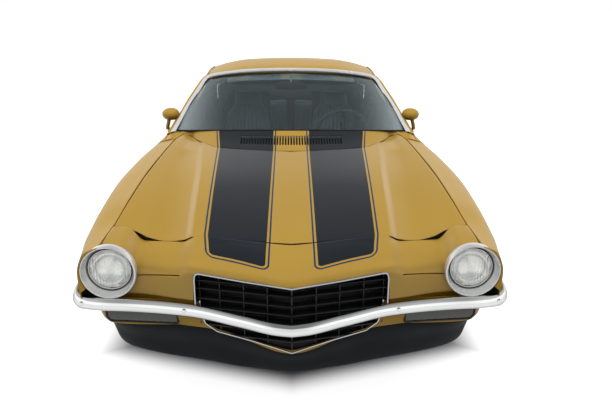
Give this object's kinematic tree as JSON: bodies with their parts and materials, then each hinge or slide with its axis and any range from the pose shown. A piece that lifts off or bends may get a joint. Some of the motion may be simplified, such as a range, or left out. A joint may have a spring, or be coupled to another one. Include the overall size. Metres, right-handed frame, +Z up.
{
  "type": "two-door muscle car",
  "caption": "Two-door hardtop muscle car with twin stripes, steered front wheels and opening doors, hood and trunk.",
  "frame": {"origin": "centre of the bounding box at ground level, under the tyres", "axes": "+Z up, the nose faces -Y, +X is the car's own left side (driver's side)"},
  "size_m": [1.888, 4.774, 1.2619],
  "materials": {
    "body_paint": "gloss",
    "chrome": "polished",
    "black_trim": "matte",
    "dark_plastic": "satin",
    "black_metal": "satin",
    "engine_metal": "satin",
    "cast_metal": "matte",
    "window_glass": "clear",
    "lamp_glass": "clear",
    "red_lens": "gloss",
    "interior_plastic": "satin",
    "seat_vinyl": "satin",
    "tyre": "matte",
    "wheel_metal": "satin",
    "exhaust_steel": "satin"
  },
  "bodies": {
    "body": {"cowl": "body_paint", "fender_left": "body_paint", "fender_right": "body_paint", "nose_panel": "body_paint", "front_lamps": "lamp_glass", "grille": "black_trim", "front_bumper": "chrome", "front_valance": "body_paint", "air_dam": "dark_plastic", "radiator": "black_metal", "subframe": "black_metal", "engine": "engine_metal", "windshield": "window_glass", "roof": "body_paint", "rear_window": "window_glass", "quarter_left": "body_paint", "quarter_right": "body_paint", "rear_deck": "body_paint", "tail_panel": "body_paint", "tail_lamps": "red_lens", "rear_bumper": "chrome", "rear_valance": "body_paint", "floor_pan": "black_metal", "dashboard": "interior_plastic", "front_seats": "seat_vinyl", "rear_seat": "seat_vinyl", "rear_axle": "cast_metal", "exhaust": "exhaust_steel"},
    "hood": {"hood": "body_paint"},
    "trunk_lid": {"trunk_lid": "body_paint"},
    "door_left": {"door_left": "body_paint", "door_glass_left": "window_glass"},
    "door_right": {"door_right": "body_paint", "door_glass_right": "window_glass"},
    "steering_wheel": {"steering_wheel": "interior_plastic"},
    "knuckle_left": {"knuckle_left": "cast_metal"},
    "knuckle_right": {"knuckle_right": "cast_metal"},
    "wheel_fl": {"wheel_fl": "wheel_metal", "tyre_fl": "tyre"},
    "wheel_fr": {"wheel_fr": "wheel_metal", "tyre_fr": "tyre"},
    "wheel_rl": {"wheel_rl": "wheel_metal", "tyre_rl": "tyre"},
    "wheel_rr": {"wheel_rr": "wheel_metal", "tyre_rr": "tyre"}
  },
  "joints": [
    {"name": "steer_left", "type": "hinge", "parent": "body", "child": "knuckle_left", "pos_m": [0.7, -1.422, 0.33], "axis": [0, 0, 1], "range_deg": [-30, 30]},
    {"name": "steer_right", "type": "hinge", "parent": "body", "child": "knuckle_right", "pos_m": [-0.7, -1.422, 0.33], "axis": [0, 0, 1], "range_deg": [-30, 30]},
    {"name": "spin_front_left", "type": "hinge", "parent": "knuckle_left", "child": "wheel_fl", "pos_m": [0.778, -1.422, 0.33], "axis": [1, 0, 0], "continuous": true},
    {"name": "spin_front_right", "type": "hinge", "parent": "knuckle_right", "child": "wheel_fr", "pos_m": [-0.778, -1.422, 0.33], "axis": [1, 0, 0], "continuous": true},
    {"name": "spin_rear_left", "type": "hinge", "parent": "body", "child": "wheel_rl", "pos_m": [0.762, 1.321, 0.33], "axis": [1, 0, 0], "continuous": true},
    {"name": "spin_rear_right", "type": "hinge", "parent": "body", "child": "wheel_rr", "pos_m": [-0.762, 1.321, 0.33], "axis": [1, 0, 0], "continuous": true},
    {"name": "open_door_left", "type": "hinge", "parent": "body", "child": "door_left", "pos_m": [0.89, -0.7, 0.55], "axis": [0, 0, -1], "range_deg": [0, 65]},
    {"name": "open_door_right", "type": "hinge", "parent": "body", "child": "door_right", "pos_m": [-0.89, -0.7, 0.55], "axis": [0, 0, 1], "range_deg": [0, 65]},
    {"name": "open_hood", "type": "hinge", "parent": "body", "child": "hood", "pos_m": [0, -0.642, 0.898], "axis": [-1, 0, 0], "range_deg": [0, 50]},
    {"name": "open_trunk_lid", "type": "hinge", "parent": "body", "child": "trunk_lid", "pos_m": [0, 1.596, 0.934], "axis": [1, 0, 0], "range_deg": [0, 65]},
    {"name": "turn_steering_wheel", "type": "hinge", "parent": "body", "child": "steering_wheel", "pos_m": [0.365, -0.15, 0.8], "axis": [0, 0.9135, 0.4067], "range_deg": [-480, 480]}
  ],
  "couplings": [
    {"joint": "steer_right", "follows": "steer_left", "ratio": 1},
    {"joint": "turn_steering_wheel", "follows": "steer_left", "ratio": 16}
  ]
}
